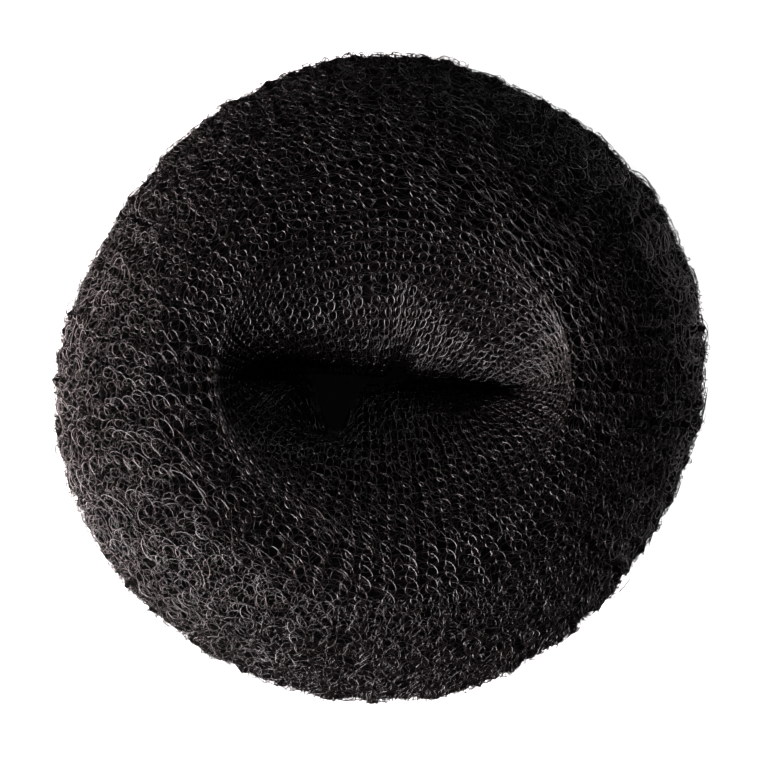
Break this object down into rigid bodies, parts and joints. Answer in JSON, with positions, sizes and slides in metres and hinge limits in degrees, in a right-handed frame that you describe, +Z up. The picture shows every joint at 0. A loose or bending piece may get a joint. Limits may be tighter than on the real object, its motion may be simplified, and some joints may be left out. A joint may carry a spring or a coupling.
{
  "type": "hair donut bun maker",
  "caption": "Round black mesh donut for shaping a hair bun: knitted nylon net rolled into a soft ring, its middle hole pinched into a long mouth with an open passage.",
  "frame": {"origin": "on the table under the middle of the donut's outline", "axes": "+Z up along the ring's axis, +X along the pinched mouth, +Y across it towards the upper lip"},
  "size_m": [0.1002, 0.0996, 0.044],
  "materials": {
    "net": "glossy black nylon thread, open knit",
    "inner_net": "black nylon thread, rolled tight"
  },
  "bodies": {
    "root": {"outer_turn": "net", "rolled_core": "inner_net"}
  },
  "joints": []
}
